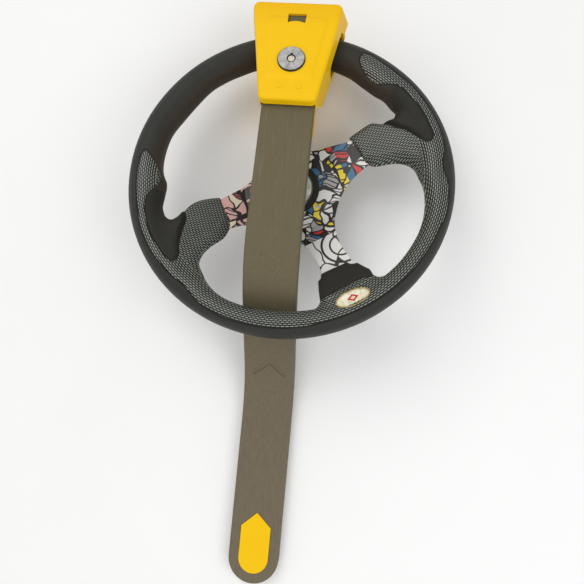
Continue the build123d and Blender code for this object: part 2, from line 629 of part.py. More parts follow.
with BuildPart() as jaw_screws:
    for x, y in ((-13, 86), (13, 86), (-13, 164), (13, 164)):
        add(disc(2.0, -42, -30, x, y, lk))
        add(disc(3.8, -44.2, -42, x, y, lk))
save(jaw_screws, "jaw_screws")
with BuildPart() as jaw_shell:
    add(hull((117, 189, 31.5, 47.5, HEAD_ZB, 7), (91, 190, 34.0, 54, HEAD_Z0 - 0.8, 7)))
    back_edges = jaw_shell.faces().sort_by(Axis(lk.origin, AX))[0].edges()
    fillet(back_edges, 4.0)
    add(hull((71, 140, 24.5, 24.5, HEAD_ZB, 7), (71, 140, 25.5, 25.5, HEAD_Z0 - 0.8, 7)))
    add(hull((120, 186, 28.5, 44.5, -42, 4), (94, 187, 31.0, 51, HEAD_Z0, 4)), mode=Mode.SUBTRACT)
    add(hull((74, 143, 21.5, 21.5, -42, 4), (74, 143, 22.5, 22.5, HEAD_Z0, 4)), mode=Mode.SUBTRACT)
    for x0, x1, y0, y1 in ((-20, 20, 76.5, 80), (-20, 20, 170, 177.5), (-20, -17, 80, 100), (17, 20, 80, 100)):
        add(block(x0, x1, y0, y1, -43, -36))    # ribs that carry the jaw plate
    add(side_slot(122, 174, -19, 20, 9), mode=Mode.SUBTRACT)
    add(block(-70, 70, 177, 215, -9, 8), mode=Mode.SUBTRACT)
    add(block(-25, 25, 177, 215, -30, 8), mode=Mode.SUBTRACT)
    for x, y in ((-13, 86), (13, 86), (-13, 164), (13, 164)):
        add(disc(4.0, -50, -42, x, y, lk), mode=Mode.SUBTRACT)
    for s in [jaw_screws.part, jaw_plate.part]:
        add(s, mode=Mode.SUBTRACT)
save(jaw_shell, "jaw_shell")
with BuildPart() as jaw_pad:
    add(block(-19, 19, 136, 173, -30, -11))
    with BuildSketch(rad):
        with Locations((UP_C, 0)):
            Ellipse(UP_A + 0.7, UP_B + 0.7)
    revolve(axis=axis, mode=Mode.SUBTRACT)
save(jaw_pad, "jaw_pad")
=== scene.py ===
import bpy, bmesh, math
import numpy as np
from mathutils import Vector, Matrix
from mathutils.geometry import delaunay_2d_cdt


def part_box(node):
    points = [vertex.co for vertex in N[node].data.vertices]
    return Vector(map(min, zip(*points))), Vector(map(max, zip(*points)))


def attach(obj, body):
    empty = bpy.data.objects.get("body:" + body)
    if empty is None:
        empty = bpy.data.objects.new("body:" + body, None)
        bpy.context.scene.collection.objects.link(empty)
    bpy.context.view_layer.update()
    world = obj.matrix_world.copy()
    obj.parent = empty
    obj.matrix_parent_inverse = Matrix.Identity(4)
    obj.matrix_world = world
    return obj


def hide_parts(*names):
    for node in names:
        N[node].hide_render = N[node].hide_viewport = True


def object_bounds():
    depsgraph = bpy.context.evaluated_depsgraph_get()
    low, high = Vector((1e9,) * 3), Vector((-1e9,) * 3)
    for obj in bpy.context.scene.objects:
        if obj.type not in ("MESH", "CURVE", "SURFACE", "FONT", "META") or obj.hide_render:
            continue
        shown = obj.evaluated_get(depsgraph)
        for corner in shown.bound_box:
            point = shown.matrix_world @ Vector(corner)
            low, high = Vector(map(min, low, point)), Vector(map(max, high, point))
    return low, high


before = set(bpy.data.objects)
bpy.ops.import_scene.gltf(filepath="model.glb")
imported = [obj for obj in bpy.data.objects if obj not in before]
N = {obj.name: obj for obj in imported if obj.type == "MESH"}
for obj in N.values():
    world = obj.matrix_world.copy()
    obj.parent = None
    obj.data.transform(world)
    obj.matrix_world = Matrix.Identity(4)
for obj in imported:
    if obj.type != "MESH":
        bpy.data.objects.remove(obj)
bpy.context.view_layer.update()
scene = bpy.context.scene

# ------------------------------------------------------------------ frames
TAU, LEAN, DISH, X_LOCK = 8.8, 5.0, 32.0, -6.7
ct, st = math.cos(math.radians(TAU)), math.sin(math.radians(TAU))
cl, sl = math.cos(math.radians(LEAN)), math.sin(math.radians(LEAN))
CEN = Vector((0, DISH * st, DISH * ct))
XD = Vector((cl, sl * ct, -sl * st))
YD = Vector((-sl, cl * ct, -cl * st))
AX = Vector((0, st, ct))
LX = Vector((1, 0, 0))
LY = Vector((0, ct, -st))


def W(x, y, z):
    """wheel frame, mm, to the row frame, m"""
    return (CEN + XD * x + YD * y + AX * z) * 0.001


def L(x, y, z):
    """lock frame, mm, to the row frame, m"""
    return (CEN + LX * (x + X_LOCK) + LY * y + AX * z) * 0.001


# ------------------------------------------------------------------ camera
cam_z = (XD * 0.0702 + YD * -0.2454 + AX * 0.967).normalized()
cam_x = XD * 0.9977 + YD * 0.0173 + AX * -0.068
cam_x = (cam_x - cam_z * cam_x.dot(cam_z)).normalized()
cam_y = cam_z.cross(cam_x)
cam_data = bpy.data.cameras.new("camera")
cam = bpy.data.objects.new("camera", cam_data)
scene.collection.objects.link(cam)
cam_data.sensor_width = 36.0
cam_data.lens = 550.0 / 584.0 * 36.0
cam_data.clip_start, cam_data.clip_end = 0.02, 20.0
m = Matrix((cam_x, cam_y, cam_z)).transposed().to_4x4()
m.translation = W(604 * 0.074, -604 * 0.437, 604 * 0.896)
cam.matrix_world = m
scene.camera = cam
scene.view_settings.view_transform = "Standard"

# ------------------------------------------------------------------ light and floor
world = bpy.data.worlds.new("studio")
scene.world = world
world.use_nodes = True
world.node_tree.nodes["Background"].inputs["Color"].default_value = (1.0, 1.0, 1.0, 1)
world.node_tree.nodes["Background"].inputs["Strength"].default_value = 0.60


def area(name, loc, target, size, power, colour=(1, 1, 1)):
    d = bpy.data.lights.new(name, "AREA")
    d.shape, d.size, d.energy, d.color = "SQUARE", size, power, colour
    o = bpy.data.objects.new(name, d)
    scene.collection.objects.link(o)
    o.location = loc
    o.rotation_mode = "QUATERNION"
    o.rotation_quaternion = (Vector(target) - Vector(loc)).to_track_quat("-Z", "Y")
    return o


area("key", (-0.75, 0.75, 1.5), (0, -0.05, 0), 1.3, 10.5, (1.0, 0.99, 0.97))
area("fill", (1.1, -0.55, 1.2), (0, -0.1, 0), 1.0, 6.5, (0.97, 0.99, 1.0))
area("foot", (-0.2, -1.5, 0.9), (0, -0.2, 0), 1.0, 4.0)

LOW = min(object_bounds()[0].z, -0.0417)
FLOOR_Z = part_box("arm_sleeve")[0].z - 0.0004


# ------------------------------------------------------------------ materials
class Mat:
    """a procedural material made by short calls; every number that is the same all over sits on the shader"""

    def __init__(self, name, **sockets):
        self.m = bpy.data.materials.new(name)
        self.m.use_nodes = True
        self.nt = self.m.node_tree
        self.b = self.nt.nodes["Principled BSDF"]
        for k, v in sockets.items():
            self.b.inputs[k.replace("_", " ")].default_value = v

    def node(self, kind, ins=None, **props):
        n = self.nt.nodes.new("ShaderNode" + kind)
        for k, v in props.items():
            setattr(n, k, v)
        for k, v in (ins or {}).items():
            self.put(n.inputs[k], v)
        return n

    def put(self, sock, v):
        if isinstance(v, bpy.types.NodeSocket):
            self.nt.links.new(v, sock)
        else:
            if isinstance(v, tuple) and len(v) == 3 and sock.type == "RGBA":
                v = (*v, 1)
            sock.default_value = v

    def obj(self):
        return self.node("TexCoord").outputs["Object"]

    def frame(self, lock=False, turn=0.0, scale=(1, 1, 1)):
        """object coordinates turned into the wheel's or the lock's own directions, in mm"""
        if lock:
            x, y, z, o = LX, LY, AX, CEN + LX * X_LOCK
        else:
            x, y, z, o = XD, YD, AX, CEN
        c, s = math.cos(math.radians(turn)), math.sin(math.radians(turn))
        x, y = x * c + y * s, y * c - x * s
        R = Matrix((x, y, z))
        e = R.to_euler()
        mp = self.node("Mapping", {"Vector": self.obj(), "Location": -(R @ o), "Rotation": tuple(e), "Scale": (1000, 1000, 1000)})
        if scale == (1, 1, 1):
            return mp.outputs[0]
        return self.node("VectorMath", {0: mp.outputs[0], 1: scale}, operation="MULTIPLY").outputs[0]

    def noise(self, vec, scale, detail=3.0, rough=0.5, dist=0.0):
        return self.node("TexNoise", {"Vector": vec, "Scale": scale, "Detail": detail, "Roughness": rough, "Distortion": dist}).outputs["Fac"]

    def voro(self, vec, scale, feature="F1", out="Distance", rnd=1.0):
        return self.node("TexVoronoi", {"Vector": vec, "Scale": scale, "Randomness": rnd}, feature=feature).outputs[out]

    def math(self, op, a, b=None, c=None, clamp=False):
        n = self.node("Math", {0: a}, operation=op, use_clamp=clamp)
        if b is not None:
            self.put(n.inputs[1], b)
        if c is not None:
            self.put(n.inputs[2], c)
        return n.outputs[0]

    def step(self, a, lo, hi, out0=0.0, out1=1.0):
        return self.node("MapRange", {"Value": a, "From Min": lo, "From Max": hi, "To Min": out0, "To Max": out1}, interpolation_type="SMOOTHSTEP").outputs[0]

    def mix(self, fac, a, b, blend="MIX"):
        n = self.node("Mix", data_type="RGBA", blend_type=blend)
        self.put(n.inputs[0], fac)
        self.put(n.inputs[6], a)
        self.put(n.inputs[7], b)
        return n.outputs[2]

    def sep(self, vec):
        n = self.node("SeparateXYZ", {0: vec})
        return n.outputs[0], n.outputs[1], n.outputs[2]

    def comb(self, x, y, z=0.0):
        return self.node("CombineXYZ", {0: x, 1: y, 2: z}).outputs[0]

    def ramp(self, fac, stops, kind="LINEAR"):
        n = self.node("ValToRGB", {"Fac": fac})
        r = n.color_ramp
        r.interpolation = kind
        while len(r.elements) < len(stops):
            r.elements.new(0.5)
        for e, (p, c) in zip(r.elements, stops):
            e.position = p
        for e, (p, c) in zip(r.elements, stops):
            e.color = (*c, 1)
        return n.outputs["Color"]

    def bump(self, height, strength=0.3, dist=0.0002, normal=None):
        ins = {"Height": height, "Strength": strength, "Distance": dist}
        if normal is not None:
            ins["Normal"] = normal
        return self.node("Bump", ins).outputs[0]

    def out(self, color=None, rough=None, normal=None, metal=None):
        if color is not None:
            self.put(self.b.inputs["Base Color"], color)
        if rough is not None:
            self.put(self.b.inputs["Roughness"], rough)
        if normal is not None:
            self.put(self.b.inputs["Normal"], normal)
        if metal is not None:
            self.put(self.b.inputs["Metallic"], metal)
        return self.m


def leather():
    g = Mat("grip_skin", Specular_IOR_Level=0.26)
    v = g.frame()
    x, y, z = g.sep(v)
    r = g.math("SQRT", g.math("ADD", g.math("MULTIPLY", x, x), g.math("MULTIPLY", y, y)))
    blot = g.noise(v, 0.035, 3, 0.55)
    fine = g.noise(v, 1.6, 3, 0.6)
    cell = g.voro(v, 0.95, "DISTANCE_TO_EDGE")
    crease = g.step(cell, 0.0, 0.16)
    col = g.mix(blot, (0.022, 0.0220, 0.0185), (0.032, 0.0315, 0.0265))
    # painted warm reflection: from r 152 mm inwards the leather is mixed towards brown
    inner = g.step(r, 152.0, 143.0)
    col = g.mix(g.math("MULTIPLY", inner, 0.75), col, (0.043, 0.032, 0.024))
    # painted shade: the grain creases, low in the bump, are darkened
    col = g.mix(g.math("MULTIPLY", g.math("SUBTRACT", 1.0, crease), 0.45), col, (0.014, 0.014, 0.012))
    worn = g.step(g.noise(v, 0.11, 4, 0.6), 0.60, 0.76)
    col = g.mix(g.math("MULTIPLY", worn, 0.35), col, (0.062, 0.060, 0.052))
    rough = g.math("ADD", g.math("MULTIPLY", fine, 0.20), 0.40)
    h = g.math("ADD", g.math("MULTIPLY", crease, 0.7), g.math("MULTIPLY", fine, 0.4))
    return g.out(col, rough, g.bump(h, 0.45, 0.00022))


def matt_insert(name="soft_insert"):
    g = Mat(name, Specular_IOR_Level=0.20)
    v = g.frame()
    fine = g.noise(v, 2.6, 2, 0.6)
    blot = g.noise(v, 0.05, 3, 0.5)
    col = g.mix(blot, (0.021, 0.0205, 0.0165), (0.028, 0.0272, 0.022))
    col = g.mix(g.step(fine, 0.62, 0.8), col, (0.042, 0.041, 0.035))
    rough = g.math("ADD", g.math("MULTIPLY", fine, 0.18), 0.52)
    return g.out(col, rough, g.bump(fine, 0.3, 0.00012))


def weave(name="weave_film"):
    g = Mat(name, Coat_Weight=0.12, Coat_Roughness=0.25, Specular_IOR_Level=0.3)
    v = g.frame()
    x, y, z = g.sep(v)
    r = g.math("SQRT", g.math("ADD", g.math("MULTIPLY", x, x), g.math("MULTIPLY", y, y)))
    ang = g.math("ARCTAN2", x, g.math("MULTIPLY", y, -1.0))
    # on the rim's lower band the threads run round the wheel
    pu, pw = g.math("MULTIPLY", ang, 154.0 / 4.3), g.math("MULTIPLY", r, 1 / 2.05)
    # on the covers they run straight, each cover its own way
    lx, ly, lz = g.sep(g.frame(turn=-28.0))
    qx, qy, qz = g.sep(g.frame(turn=25.0))
    right = g.math("GREATER_THAN", x, 0.0)
    su = g.math("ADD", g.math("MULTIPLY", lx, g.math("SUBTRACT", 1.0, right)), g.math("MULTIPLY", qx, right))
    sw = g.math("ADD", g.math("MULTIPLY", ly, g.math("SUBTRACT", 1.0, right)), g.math("MULTIPLY", qy, right))
    su, sw = g.math("MULTIPLY", su, 1 / 4.3), g.math("MULTIPLY", sw, 1 / 2.05)
    cover = g.math("LESS_THAN", r, 142.0)
    keep = g.math("SUBTRACT", 1.0, cover)
    u = g.math("ADD", g.math("MULTIPLY", su, cover), g.math("MULTIPLY", pu, keep))
    w = g.math("ADD", g.math("MULTIPLY", sw, cover), g.math("MULTIPLY", pw, keep))
    row = g.math("FLOOR", w)
    shift = g.math("MULTIPLY", g.math("MODULO", g.math("ABSOLUTE", row), 2.0), 0.5)
    fu = g.math("SUBTRACT", g.math("FRACT", g.math("ADD", u, shift)), 0.5)
    fw = g.math("SUBTRACT", g.math("FRACT", w), 0.5)
    a = g.math("POWER", g.math("MULTIPLY", g.math("ABSOLUTE", fu), 2 / 0.78), 3.0)
    b = g.math("POWER", g.math("MULTIPLY", g.math("ABSOLUTE", fw), 2 / 0.34), 3.0)
    d = g.math("ADD", a, b)
    dash = g.step(d, 1.35, 0.55)
    thread = g.math("SINE", g.math("MULTIPLY", w, 18.0))
    grime = g.noise(v, 0.06, 3, 0.5)
    silver = g.mix(grime, (0.29, 0.305, 0.27), (0.45, 0.475, 0.42))
    silver = g.mix(g.step(thread, 0.1, 0.9), silver, (0.26, 0.275, 0.245))
    dark = g.mix(grime, (0.005, 0.007, 0.005), (0.012, 0.015, 0.011))
    col = g.mix(dash, dark, silver)
    rough = g.math("SUBTRACT", 0.46, g.math("MULTIPLY", dash, 0.16))
    return g.out(col, rough, g.bump(dash, 0.35, 0.00018), g.math("MULTIPLY", dash, 0.10))


def bar_plastic():
    g = Mat("bar_moulding", Specular_IOR_Level=0.20)
    v = g.frame(lock=True)
    streak = g.noise(g.frame(lock=True, scale=(1.0, 0.045, 1.0)), 0.55, 4, 0.62)
    wide = g.noise(g.frame(lock=True, scale=(1.0, 0.15, 1.0)), 0.09, 3, 0.55)
    fine = g.noise(v, 2.2, 2, 0.6)
    x, y, z = g.sep(v)
    base = g.mix(wide, (0.128, 0.108, 0.058), (0.147, 0.125, 0.069))
    # painted light: the arm is mixed lighter and browner from y -60 mm down to -250 mm
    low = g.step(y, -60.0, -250.0)
    base = g.mix(g.math("MULTIPLY", low, 0.8), base, (0.172, 0.138, 0.095))
    col = g.mix(g.math("MULTIPLY", g.step(streak, 0.44, 0.74), 0.45), base, (0.105, 0.088, 0.055))
    col = g.mix(g.math("MULTIPLY", g.step(streak, 0.44, 0.26), 0.45), col, (0.205, 0.175, 0.108))
    col = g.mix(g.step(fine, 0.60, 0.78), col, (0.22, 0.19, 0.13))
    rough = g.math("ADD", g.math("MULTIPLY", fine, 0.2), 0.46)
    h = g.math("ADD", g.math("MULTIPLY", streak, 0.8), g.math("MULTIPLY", fine, 0.5))
    return g.out(col, rough, g.bump(h, 0.30, 0.00020))


def yellow(name="yellow_moulding", lock=True):
    g = Mat(name, Specular_IOR_Level=0.16)
    v = g.frame(lock=True)
    blot = g.noise(v, 0.03, 3, 0.5)
    fine = g.noise(v, 1.9, 2, 0.6)
    x, y, z = g.sep(v)
    col = g.mix(blot, (0.91, 0.53, 0.001), (0.96, 0.59, 0.002))
    if lock:
        # painted shade: the head end beyond y 150 mm is mixed darker orange
        col = g.mix(g.math("MULTIPLY", g.step(y, 150.0, 190.0), 0.55), col, (0.83, 0.44, 0.002))
        # painted shade: darker orange towards the underside, below z 24 mm
        col = g.mix(g.math("MULTIPLY", g.step(z, 24.0, -4.0), 0.35), col, (0.80, 0.43, 0.004))
    scuff = g.step(g.noise(g.frame(lock=True, scale=(1, 0.3, 1)), 0.35, 4, 0.65), 0.66, 0.80)
    col = g.mix(g.math("MULTIPLY", scuff, 0.25), col, (0.95, 0.66, 0.10))
    rough = g.math("ADD", g.math("MULTIPLY", fine, 0.16), 0.36)
    return g.out(col, rough, g.bump(fine, 0.16, 0.00012))


def metal(name, c0, c1, rough=0.32, scale=0.25, stretch=(1, 1, 1), lock=True, spin=None):
    g = Mat(name, Metallic=1.0)
    v = g.frame(lock=lock, scale=stretch)
    if spin is not None:      # turned face: fine rings about a centre
        x, y, z = g.sep(g.frame(lock=lock))
        dx, dy = g.math("SUBTRACT", x, spin[0]), g.math("SUBTRACT", y, spin[1])
        r = g.math("SQRT", g.math("ADD", g.math("MULTIPLY", dx, dx), g.math("MULTIPLY", dy, dy)))
        ang = g.math("ARCTAN2", dy, dx)
        n = g.noise(g.comb(g.math("MULTIPLY", r, 2.2), g.math("MULTIPLY", ang, 0.35), 0.0), 1.0, 4, 0.6)
        fan = g.noise(g.comb(g.math("COSINE", ang), g.math("SINE", ang), g.math("MULTIPLY", r, 0.03)), 1.9, 3, 0.6)
        n = g.math("ADD", g.math("MULTIPLY", n, 0.45), g.math("MULTIPLY", fan, 0.55))
    else:
        n = g.noise(v, scale, 4, 0.6)
    s = g.step(n, 0.34, 0.66)
    return g.out(g.mix(s, c0, c1), g.math("ADD", g.math("MULTIPLY", n, 0.22), rough - 0.08), g.bump(n, 0.2, 0.00008))


def rubber(name="pad_rubber"):
    g = Mat(name, Specular_IOR_Level=0.3)
    v = g.frame(lock=True)
    n = g.noise(v, 1.3, 3, 0.6)
    return g.out(g.mix(n, (0.012, 0.012, 0.012), (0.034, 0.033, 0.031)), g.math("ADD", g.math("MULTIPLY", n, 0.2), 0.62), g.bump(n, 0.35, 0.0002))


def plate_print():
    """an abstract printed pattern: flat coloured fields, heavy black outlines, arcs and bars"""
    g = Mat("printed_plate", Specular_IOR_Level=0.4, Coat_Weight=0.12, Coat_Roughness=0.2)
    v = g.frame()
    x, y, z = g.sep(v)
    flat = g.comb(x, y, 0.0)
    warp = g.node("TexNoise", {"Vector": flat, "Scale": 0.045, "Detail": 1.0}).outputs["Color"]
    warp = g.node("VectorMath", {0: warp, 1: (-0.5, -0.5, -0.5)}, operation="ADD").outputs[0]
    warp = g.node("VectorMath", {0: warp, 1: (26.0, 26.0, 0.0)}, operation="MULTIPLY").outputs[0]
    vec = g.node("VectorMath", {0: flat, 1: warp}, operation="ADD").outputs[0]
    edge = g.voro(vec, 0.082, "DISTANCE_TO_EDGE", rnd=0.92)
    cell = g.voro(vec, 0.082, "F1", "Color", rnd=0.92)
    pick = g.sep(cell)[0]
    pick2 = g.sep(cell)[1]
    white, grey, pink = (0.78, 0.76, 0.73), (0.40, 0.38, 0.38), (0.72, 0.42, 0.38)
    red, blue, yel, blk, cream = (0.62, 0.035, 0.035), (0.035, 0.15, 0.30), (0.85, 0.68, 0.02), (0.016, 0.013, 0.011), (0.80, 0.70, 0.52)
    hub = g.ramp(pick, [(0.0, white), (0.26, blk), (0.34, grey), (0.50, white), (0.68, yel), (0.77, cream), (0.85, blue), (0.93, red)], "CONSTANT")
    left = g.ramp(pick, [(0.0, pink), (0.38, grey), (0.52, pink), (0.74, cream), (0.88, (0.45, 0.10, 0.11))], "CONSTANT")
    right = g.ramp(pick, [(0.0, white), (0.30, red), (0.55, white), (0.68, blue), (0.80, red), (0.92, blk)], "CONSTANT")
    low = g.ramp(pick, [(0.0, white), (0.92, grey)], "CONSTANT")
    col = g.mix(g.math("LESS_THAN", x, -30.0), hub, left)
    col = g.mix(g.math("GREATER_THAN", g.math("ADD", g.math("MULTIPLY", x, 0.9), g.math("MULTIPLY", y, 0.44)), 62.0), col, right)
    lowmask = g.math("LESS_THAN", g.math("ADD", g.math("MULTIPLY", x, -0.46), g.math("MULTIPLY", y, 0.89)), -70.0)
    col = g.mix(lowmask, col, low)
    # arcs across part of the fields
    wave = g.node("TexWave", {"Vector": vec, "Scale": 0.055, "Distortion": 2.4, "Detail": 1.0, "Detail Scale": 0.05}, wave_type="RINGS").outputs["Fac"]
    arcs = g.math("MULTIPLY", g.step(wave, 0.80, 0.86), g.math("GREATER_THAN", pick2, 0.55))
    arcs = g.math("MULTIPLY", arcs, g.math("SUBTRACT", 1.0, g.math("MULTIPLY", lowmask, 1.0)))
    col = g.mix(arcs, col, blk)
    big = g.voro(vec, 0.028, "DISTANCE_TO_EDGE", rnd=1.0)
    line = g.step(edge, 0.085, 0.055)
    ax, ay = g.math("SUBTRACT", x, 56.0), g.math("SUBTRACT", y, -70.0)
    ar = g.math("SQRT", g.math("ADD", g.math("MULTIPLY", ax, ax), g.math("MULTIPLY", ay, ay)))
    a1 = g.math("MULTIPLY", g.step(ar, 11.0, 11.5), g.step(ar, 13.6, 13.1))
    a2 = g.math("MULTIPLY", g.step(ar, 19.6, 20.1), g.step(ar, 22.6, 22.1))
    lowline = g.math("MAXIMUM", g.math("MAXIMUM", a1, a2), g.step(big, 0.035, 0.02))
    line = g.mix(lowmask, line, lowline)
    col = g.mix(line, col, (0.014, 0.011, 0.009))
    scr = g.step(g.noise(v, 0.5, 4, 0.6), 0.63, 0.72)
    col = g.mix(g.math("MULTIPLY", scr, 0.25), col, (0.45, 0.43, 0.41))
    rough = g.math("ADD", g.math("MULTIPLY", g.noise(v, 0.7, 3, 0.6), 0.2), 0.24)
    return g.out(col, rough, g.bump(line, 0.1, 0.00006))


def horn_face():
    g = Mat("horn_face", Specular_IOR_Level=0.5, Coat_Weight=0.5, Coat_Roughness=0.08)
    v = g.frame()
    x, y, z = g.sep(v)
    r = g.math("SQRT", g.math("ADD", g.math("MULTIPLY", x, x), g.math("MULTIPLY", y, y)))
    sw = g.noise(g.comb(g.math("MULTIPLY", x, 0.05), g.math("MULTIPLY", y, 0.05), 0.0), 1.0, 2, 0.5, 1.4)
    col = g.mix(g.step(sw, 0.40, 0.62), (0.42, 0.42, 0.34), (0.80, 0.79, 0.68))
    ring = g.math("MULTIPLY", g.step(r, 23.2, 23.7), 1.0)
    col = g.mix(ring, col, (0.02, 0.02, 0.018))
    # generic mark: a crescent
    dx, dy = g.math("SUBTRACT", x, 3.0), g.math("SUBTRACT", y, 0.0)
    r2 = g.math("SQRT", g.math("ADD", g.math("MULTIPLY", dx, dx), g.math("MULTIPLY", dy, dy)))
    cres = g.math("MULTIPLY", g.step(r, 12.6, 12.2), g.step(r2, 10.4, 10.8))
    col = g.mix(cres, col, (0.02, 0.02, 0.018))
    return g.out(col, g.math("ADD", g.math("MULTIPLY", sw, 0.1), 0.16), g.bump(sw, 0.05, 0.0003))


BX, BY, BTURN = 66.4, -135.9, 24.0


def badge_face():
    g = Mat("badge_face", Specular_IOR_Level=0.5, Coat_Weight=0.6, Coat_Roughness=0.08)
    v = g.frame(turn=BTURN)
    c, s = math.cos(math.radians(BTURN)), math.sin(math.radians(BTURN))
    bx, by = BX * c + BY * s, BY * c - BX * s
    x, y, z = g.sep(v)
    x, y = g.math("SUBTRACT", x, bx), g.math("SUBTRACT", y, by)
    sw = g.noise(v, 0.22, 3, 0.6)
    col = g.mix(g.step(sw, 0.35, 0.65), (0.62, 0.58, 0.36), (0.86, 0.83, 0.66))
    # generic mark: a plain red lozenge with a pale middle
    loz = g.math("ADD", g.math("MULTIPLY", g.math("ABSOLUTE", x), 1 / 6.4), g.math("MULTIPLY", g.math("ABSOLUTE", y), 1 / 3.9))
    blades = g.math("MULTIPLY", g.step(loz, 1.0, 0.94), g.step(loz, 0.40, 0.46))
    col = g.mix(blades, col, (0.55, 0.02, 0.02))
    return g.out(col, g.math("ADD", g.math("MULTIPLY", sw, 0.1), 0.18), g.bump(sw, 0.08, 0.0002))


def floor_mat():
    g = Mat("floor", Specular_IOR_Level=0.2)
    v = g.obj()
    n = g.noise(v, 9.0, 3, 0.5)
    return g.out(g.mix(n, (0.93, 0.93, 0.925), (0.96, 0.96, 0.955)), g.math("ADD", g.math("MULTIPLY", n, 0.1), 0.7))


M = {
    "grip": leather(), "insert": matt_insert(), "weave": weave(), "bar": bar_plastic(), "yellow": yellow(), "arrow": yellow("arrow_yellow", False),
    "steel": metal("plain_steel", (0.42, 0.42, 0.41), (0.62, 0.61, 0.60), 0.38, 0.3, (0.2, 1, 1)),
    "zinc": metal("zinc_screw", (0.28, 0.28, 0.29), (0.50, 0.50, 0.49), 0.40, 0.9),
    "barrel": metal("barrel_face", (0.26, 0.26, 0.265), (0.56, 0.555, 0.54), 0.36, spin=(0.0, 115.0)),
    "key": metal("key_post", (0.52, 0.46, 0.34), (0.85, 0.80, 0.66), 0.30, 1.1),
    "brass": metal("brass", (0.45, 0.30, 0.09), (0.72, 0.52, 0.20), 0.30, 0.8),
    "bezel": metal("badge_rim", (0.26, 0.19, 0.07), (0.55, 0.42, 0.18), 0.30, 0.8),
    "rubber": rubber(), "hornblack": matt_insert("horn_black"), "plate": plate_print(), "horn": horn_face(), "badge": badge_face(), "floor": floor_mat(),
}
NODE_MAT = {
    "rim_core": "steel", "rim_grip": "grip", "left_trim": "weave", "right_trim": "weave", "lower_trim": "weave", "left_spoke_cover": "weave",
    "right_spoke_cover": "weave", "bottom_spoke_cover": "insert", "left_thumb_insert": "insert", "right_thumb_insert": "insert", "badge_bezel": "bezel",
    "badge_plate": "badge", "spoke_plate": "plate", "horn_cup": "hornblack", "horn_button": "horn", "horn_contact_ring": "brass", "horn_contact": "brass",
    "horn_spring": "steel", "arm_bar": "steel", "arm_sleeve": "bar", "arrow_inlay": "arrow", "cover_screws": "zinc", "case_screws": "zinc",
    "head_cover": "yellow", "hinge_bracket": "steel", "hinge_pin": "steel", "hinge_clips": "zinc", "lock_barrel": "barrel", "barrel_gasket": "rubber",
    "key_core": "key", "core_cam": "steel", "lock_bolt": "steel", "lock_case": "zinc", "case_plate": "steel", "bar_pad": "rubber",
    "jaw_plate": "steel", "jaw_screws": "zinc", "jaw_shell": "yellow", "jaw_pad": "rubber"}
for name, o in N.items():
    o.data.materials.clear()
    o.data.materials.append(M[NODE_MAT[name]])

# plain pale floor
bm = bmesh.new()
for sx, sy in ((-1, -1), (1, -1), (1, 1), (-1, 1)):
    bm.verts.new((sx * 4.0, sy * 4.0, FLOOR_Z))
bm.faces.new(bm.verts)
me = bpy.data.meshes.new("floor")
bm.to_mesh(me)
bm.free()
floor = bpy.data.objects.new("floor", me)
scene.collection.objects.link(floor)
me.materials.append(M["floor"])

# ------------------------------------------------------------------ contour-aligned plates
def smooth_path(pts, step, closed=False):
    """a centripetal spline through the points, resampled at even steps"""
    P = [np.array(p, float) for p in pts]
    n = len(P)
    if closed:
        ext = [P[-1]] + P + [P[0], P[1]]
        segs = n
    else:
        ext = [2 * P[0] - P[1]] + P + [2 * P[-1] - P[-2]]
        segs = n - 1
    out = []
    for i in range(segs):
        p0, p1, p2, p3 = ext[i], ext[i + 1], ext[i + 2], ext[i + 3]
        t0 = 0.0
        t1 = t0 + max(np.linalg.norm(p1 - p0), 1e-6) ** 0.5
        t2 = t1 + max(np.linalg.norm(p2 - p1), 1e-6) ** 0.5
        t3 = t2 + max(np.linalg.norm(p3 - p2), 1e-6) ** 0.5
        for k in range(16):
            t = t1 + (t2 - t1) * k / 16
            a1 = (t1 - t) / (t1 - t0) * p0 + (t - t0) / (t1 - t0) * p1
            a2 = (t2 - t) / (t2 - t1) * p1 + (t - t1) / (t2 - t1) * p2
            a3 = (t3 - t) / (t3 - t2) * p2 + (t - t2) / (t3 - t2) * p3
            b1 = (t2 - t) / (t2 - t0) * a1 + (t - t0) / (t2 - t0) * a2
            b2 = (t3 - t) / (t3 - t1) * a2 + (t - t1) / (t3 - t1) * a3
            out.append((t2 - t) / (t2 - t1) * b1 + (t - t1) / (t2 - t1) * b2)
    out.append(P[0] if closed else P[-1])
    return even(np.array(out), step)


def even(q, step):
    s = np.concatenate([[0], np.cumsum(np.linalg.norm(np.diff(q, axis=0), axis=1))])
    n = max(2, int(round(s[-1] / step)) + 1)
    t = np.linspace(0, s[-1], n)
    return np.column_stack([np.interp(t, s, q[:, 0]), np.interp(t, s, q[:, 1])])


def seg_dist(P, A):
    """distance from each point to an open polyline"""
    a, b = A[:-1], A[1:]
    d = b - a
    L2 = (d * d).sum(1) + 1e-12
    out = np.full(len(P), 1e9)
    for i in range(0, len(P), 2000):
        p = P[i:i + 2000]
        v = p[:, None, :] - a[None]
        t = np.clip((v * d[None]).sum(2) / L2, 0, 1)
        e = v - t[..., None] * d[None]
        out[i:i + 2000] = np.sqrt((e * e).sum(2).min(1))
    return out


def inside(P, poly):
    x, y = P[:, 0], P[:, 1]
    px, py = poly[:, 0], poly[:, 1]
    qx, qy = np.roll(px, -1), np.roll(py, -1)
    c = np.zeros(len(P), bool)
    for a, b, e, f in zip(px, py, qx, qy):
        if b == f:
            continue
        hit = ((b > y) != (f > y)) & (x < (e - a) * (y - b) / (f - b) + a)
        c ^= hit
    return c


def offsets(path, ds):
    """points beside a polyline at signed distances"""
    t = np.gradient(path, axis=0)
    t /= np.linalg.norm(t, axis=1)[:, None] + 1e-12
    n = np.column_stack([-t[:, 1], t[:, 0]])
    return np.concatenate([path + n * d for d in ds])


